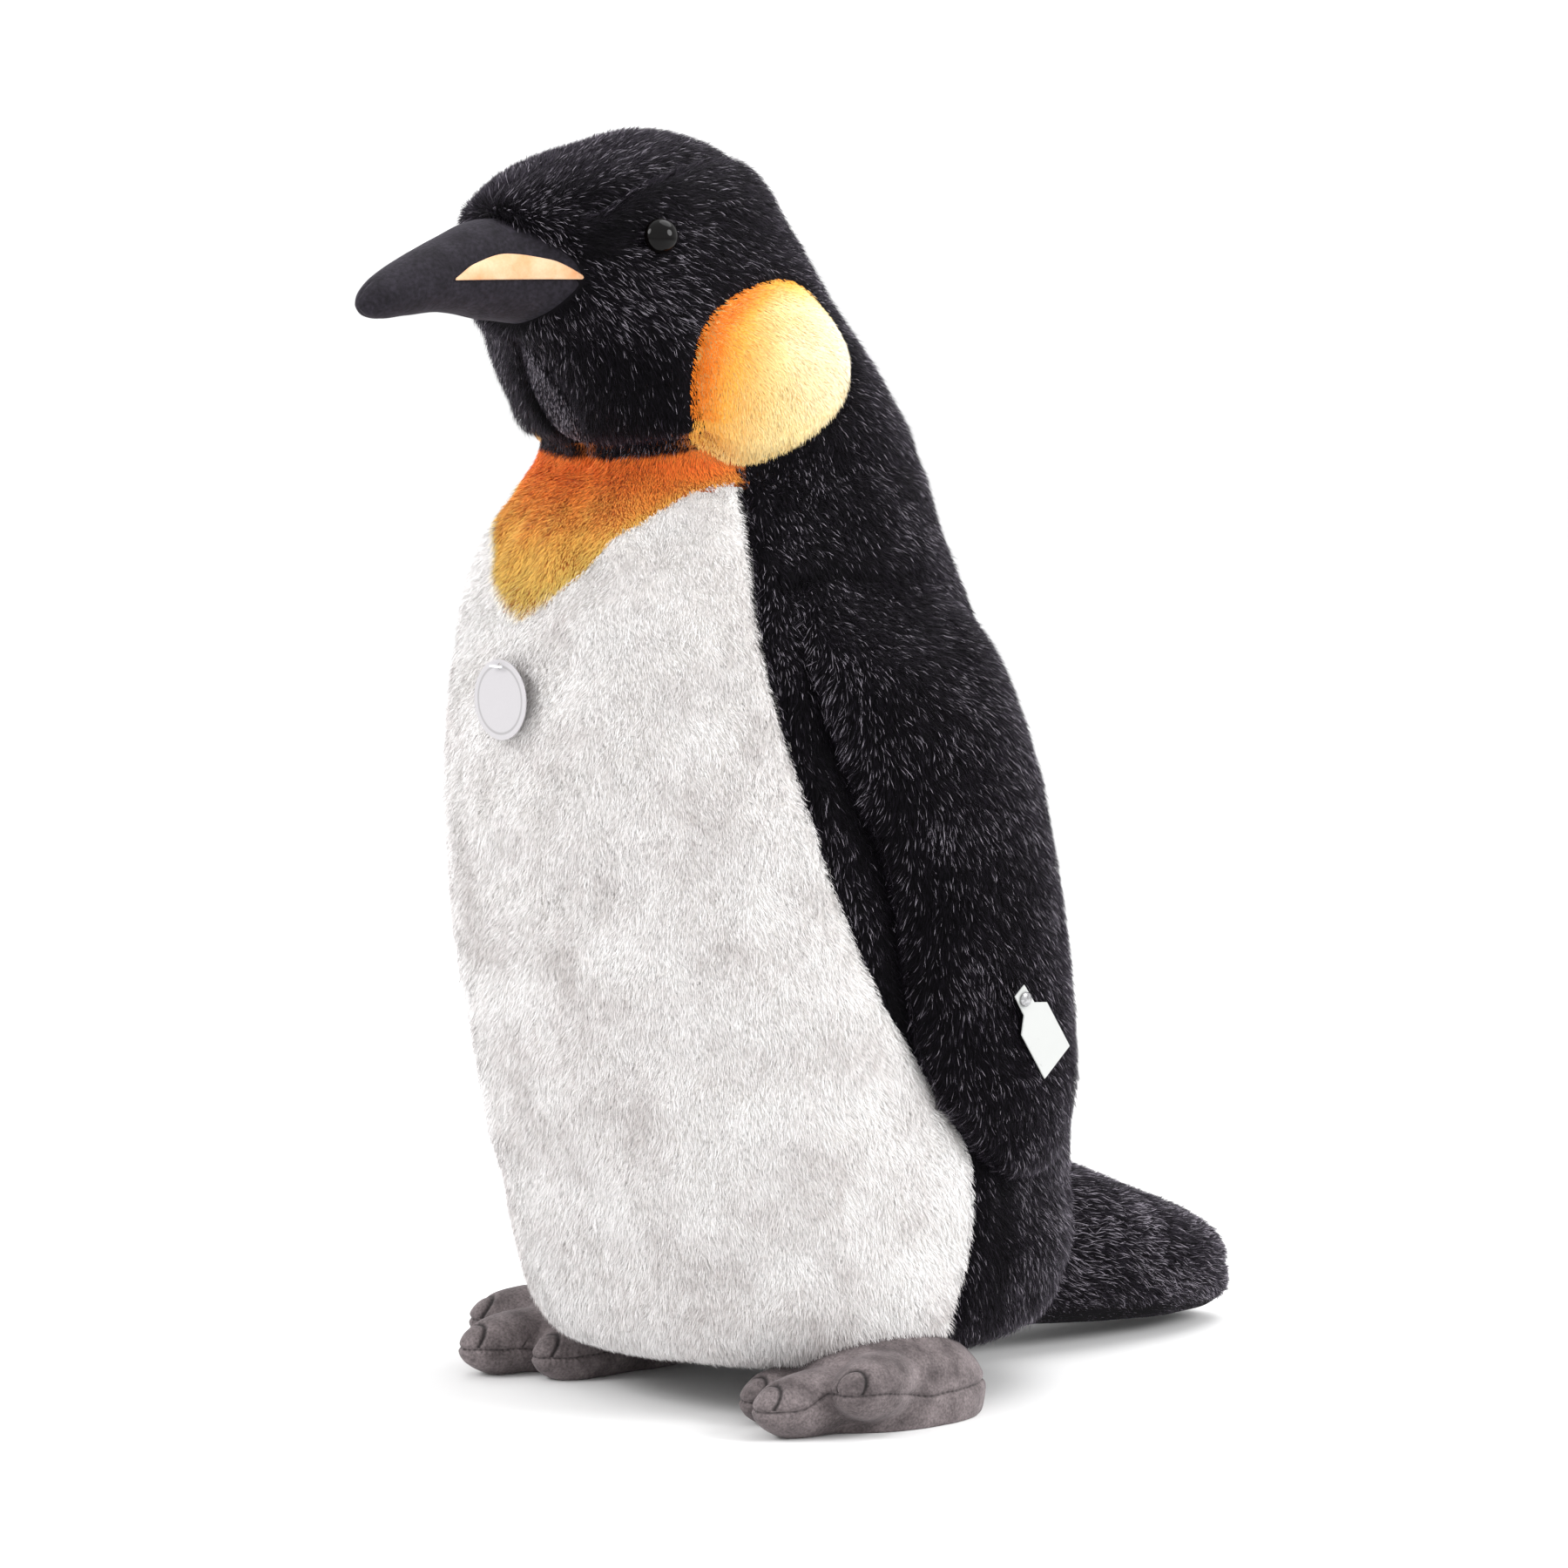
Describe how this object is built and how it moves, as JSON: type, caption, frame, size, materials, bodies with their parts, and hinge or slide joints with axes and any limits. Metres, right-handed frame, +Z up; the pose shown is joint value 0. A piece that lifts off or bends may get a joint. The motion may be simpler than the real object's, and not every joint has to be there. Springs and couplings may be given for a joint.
{
  "type": "plush penguin",
  "caption": "Standing plush penguin with long pile, stuffed velour beak and feet, glossy eyes, liftable wings, a resting tail and blank tags.",
  "frame": {"origin": "on the floor under the middle of the bounding box", "axes": "+Z up; the bird faces -Y and its left side is +X"},
  "size_m": [0.3593, 0.615, 0.678],
  "materials": {
    "black_pile": "long soft pile, combed down",
    "white_pile": "long soft pile, ruffled",
    "orange_pile": "pile, red-orange fading to yellow",
    "yellow_pile": "short dense pile, orange to cream",
    "dark_velour": "short-nap velour",
    "peach_velour": "short-nap velour",
    "grey_velour": "brushed velour",
    "stuffing": "polyester fibre",
    "glossy_black": "polished",
    "hard_plastic": "moulded",
    "bag_cloth": "plain weave, filled with pellets",
    "glossy_card": "coated card",
    "clear_plastic": "clear moulded plastic",
    "label_cloth": "woven label tape",
    "polished_metal": "polished"
  },
  "bodies": {
    "penguin": {"base_panel": "black_pile", "beak_lower_cover": "dark_velour", "beak_patch_left": "peach_velour", "beak_patch_right": "peach_velour", "beak_stuffing": "stuffing", "beak_upper_cover": "dark_velour", "belly_panel": "white_pile", "body_stuffing": "stuffing", "collar_and_bib": "orange_pile", "crown_gusset": "black_pile", "ear_patch_left": "yellow_pile", "ear_patch_right": "yellow_pile", "eye_left": "glossy_black", "eye_right": "glossy_black", "eye_washer_left": "hard_plastic", "eye_washer_right": "hard_plastic", "foot_cover_left": "grey_velour", "foot_cover_right": "grey_velour", "foot_sole_left": "grey_velour", "foot_sole_right": "grey_velour", "foot_stuffing_left": "stuffing", "foot_stuffing_right": "stuffing", "head_stuffing": "stuffing", "side_and_back_panel_left": "black_pile", "side_and_back_panel_right": "black_pile", "tag_fastener": "clear_plastic", "tail_lower_panel": "black_pile", "tail_stuffing": "stuffing", "tail_upper_panel": "black_pile", "throat_gusset": "black_pile", "weight_bag": "bag_cloth"},
    "left_wing": {"wing_inner_panel_left": "black_pile", "wing_outer_panel_left": "black_pile", "wing_stuffing_left": "stuffing", "wing_button": "polished_metal", "wing_button_washer": "polished_metal"},
    "right_wing": {"wing_inner_panel_right": "black_pile", "wing_outer_panel_right": "black_pile", "wing_stuffing_right": "stuffing"},
    "chest_tag": {"chest_tag": "glossy_card"},
    "wing_flag": {"wing_flag": "label_cloth"}
  },
  "joints": [
    {"name": "left_wing_lift", "type": "hinge", "parent": "penguin", "child": "left_wing", "pos_m": [0.118, -0.05, 0.444], "axis": [0, -1, 0], "range_deg": [0, 70]},
    {"name": "right_wing_lift", "type": "hinge", "parent": "penguin", "child": "right_wing", "pos_m": [-0.118, -0.05, 0.444], "axis": [0, 1, 0], "range_deg": [0, 70]},
    {"name": "chest_tag_swing", "type": "hinge", "parent": "penguin", "child": "chest_tag", "pos_m": [0, -0.2165, 0.4005], "axis": [-1, 0, 0], "range_deg": [0, 45]},
    {"name": "wing_flag_swivel", "type": "hinge", "parent": "left_wing", "child": "wing_flag", "pos_m": [0.17688, -0.012, 0.226], "axis": [0.9946, 0.0995, -0.0298], "range_deg": [-40, 40]}
  ]
}
